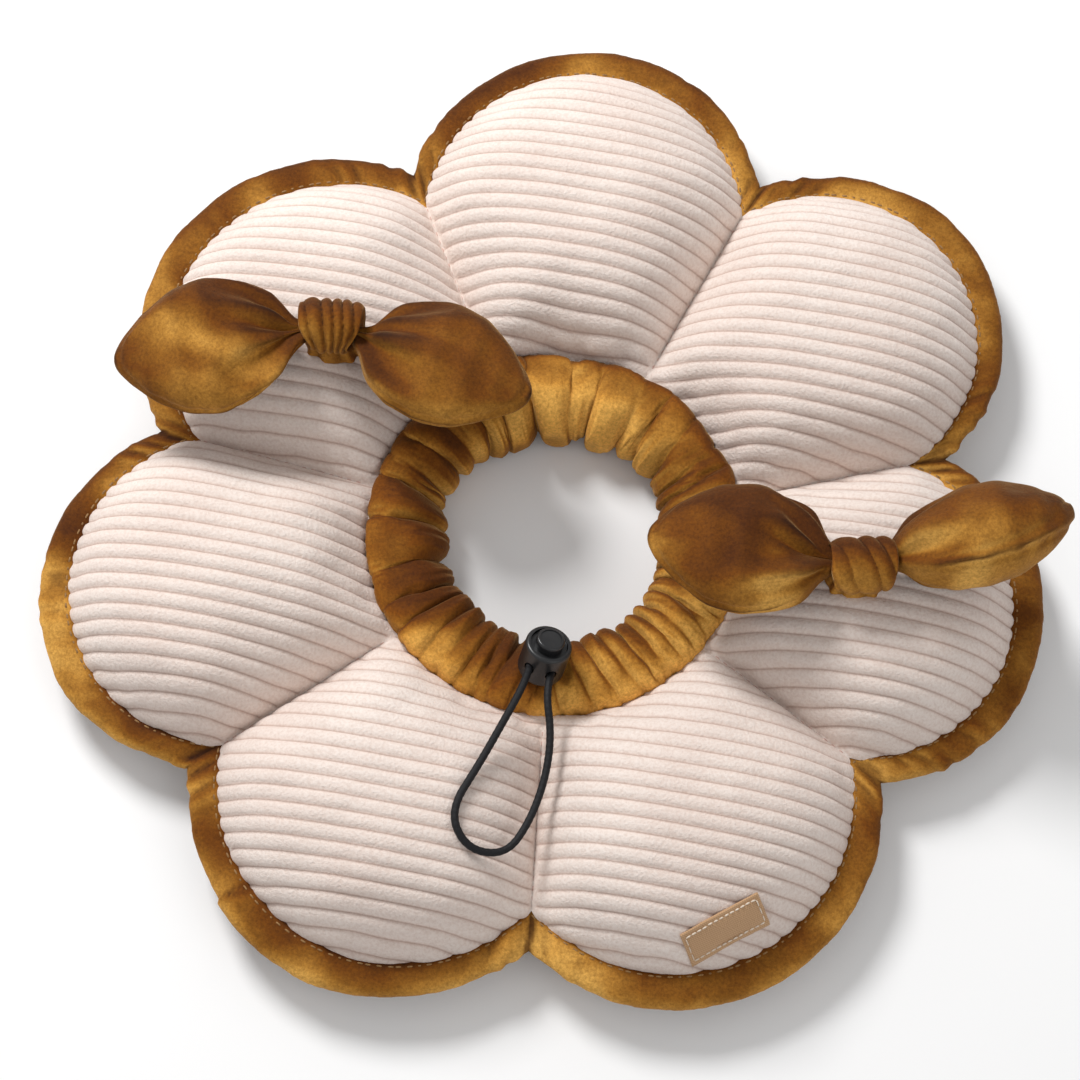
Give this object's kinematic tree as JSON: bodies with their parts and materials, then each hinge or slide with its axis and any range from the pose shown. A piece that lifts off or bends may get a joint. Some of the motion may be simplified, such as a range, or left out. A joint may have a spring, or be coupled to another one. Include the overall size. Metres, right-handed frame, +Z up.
{
  "type": "elizabethan collar",
  "caption": "Soft flower-shaped recovery collar of stuffed corduroy petals with a velvet binding, a gathered neck sleeve, a drawcord with a push-button cord lock and stuffed bows.",
  "frame": {"origin": "on the axis of the neck opening, in the plane of the table that the collar lies on", "axes": "+Z up along the neck opening's axis, out of the face with the bows; -Y towards the cord lock"},
  "size_m": [0.3432, 0.3411, 0.0646],
  "materials": {
    "corduroy": "matte",
    "velvet": "matte",
    "fibre_filling": "matte",
    "thread": "matte",
    "label_tape": "matte",
    "elastic_cord": "satin",
    "lock_plastic": "satin",
    "spring_steel": "polished"
  },
  "bodies": {
    "collar": {"back_cover": "corduroy", "binding_topstitch": "thread", "cord_lock_barrel": "lock_plastic", "cord_lock_spring": "spring_steel", "drawcord_sleeve_run": "elastic_cord", "drawcord_strands": "elastic_cord", "edge_binding": "velvet", "front_cover": "corduroy", "label_stitching": "thread", "left_bow_anchor_tab": "velvet", "left_bow_thread_shank": "thread", "neck_sleeve": "velvet", "petal_pad_1": "fibre_filling", "petal_pad_2": "fibre_filling", "petal_pad_3": "fibre_filling", "petal_pad_4": "fibre_filling", "petal_pad_5": "fibre_filling", "petal_pad_6": "fibre_filling", "petal_pad_7": "fibre_filling", "quilting_thread": "thread", "right_bow_anchor_tab": "velvet", "right_bow_thread_shank": "thread", "woven_label": "label_tape"},
    "drawcord": {"drawcord_leads": "elastic_cord", "drawcord_loop": "elastic_cord"},
    "lock_button": {"cord_lock_button": "lock_plastic"},
    "left_bow": {"left_bow_core": "velvet", "left_bow_knot_band": "velvet"},
    "left_bow_outer_ear": {"left_bow_outer_ear_back_panel": "velvet", "left_bow_outer_ear_filling": "fibre_filling", "left_bow_outer_ear_front_panel": "velvet"},
    "left_bow_inner_ear": {"left_bow_inner_ear_back_panel": "velvet", "left_bow_inner_ear_filling": "fibre_filling", "left_bow_inner_ear_front_panel": "velvet"},
    "right_bow": {"right_bow_core": "velvet", "right_bow_knot_band": "velvet"},
    "right_bow_inner_ear": {"right_bow_inner_ear_back_panel": "velvet", "right_bow_inner_ear_filling": "fibre_filling", "right_bow_inner_ear_front_panel": "velvet"},
    "right_bow_outer_ear": {"right_bow_outer_ear_back_panel": "velvet", "right_bow_outer_ear_filling": "fibre_filling", "right_bow_outer_ear_front_panel": "velvet"}
  },
  "joints": [
    {"name": "drawcord_pull", "type": "slide", "parent": "collar", "child": "drawcord", "axis": [-0.1671, -0.8791, 0.4464], "range_m": [0, 0.014]},
    {"name": "lock_button_press", "type": "slide", "parent": "collar", "child": "lock_button", "axis": [-0.2076, -0.4112, -0.8876], "range_m": [0, 0.0032], "stiffness_N_per_m": 900, "springref_m": -0.003, "deforming": ["cord_lock_spring"]},
    {"name": "left_bow_swivel", "type": "hinge", "parent": "collar", "child": "left_bow", "pos_m": [-0.0774, 0.0555, 0.0545], "axis": [0, 0, 1], "range_deg": [-12, 12]},
    {"name": "left_bow_outer_ear_lift", "type": "hinge", "parent": "left_bow", "child": "left_bow_outer_ear", "pos_m": [-0.09207, 0.05238, 0.0545], "axis": [-0.2079, 0.9781, 0], "range_deg": [0, 40]},
    {"name": "left_bow_inner_ear_lift", "type": "hinge", "parent": "left_bow", "child": "left_bow_inner_ear", "pos_m": [-0.06298, 0.05137, 0.0545], "axis": [-0.2756, -0.9613, 0], "range_deg": [0, 40]},
    {"name": "right_bow_swivel", "type": "hinge", "parent": "collar", "child": "right_bow", "pos_m": [0.0998, -0.016, 0.0545], "axis": [0, 0, 1], "range_deg": [-12, 12]},
    {"name": "right_bow_inner_ear_lift", "type": "hinge", "parent": "right_bow", "child": "right_bow_inner_ear", "pos_m": [0.08488, -0.01443, 0.0545], "axis": [0.1045, 0.9945, 0], "range_deg": [0, 40]},
    {"name": "right_bow_outer_ear_lift", "type": "hinge", "parent": "right_bow", "child": "right_bow_outer_ear", "pos_m": [0.11389, -0.01087, 0.0545], "axis": [0.342, -0.9397, 0], "range_deg": [0, 40]}
  ]
}
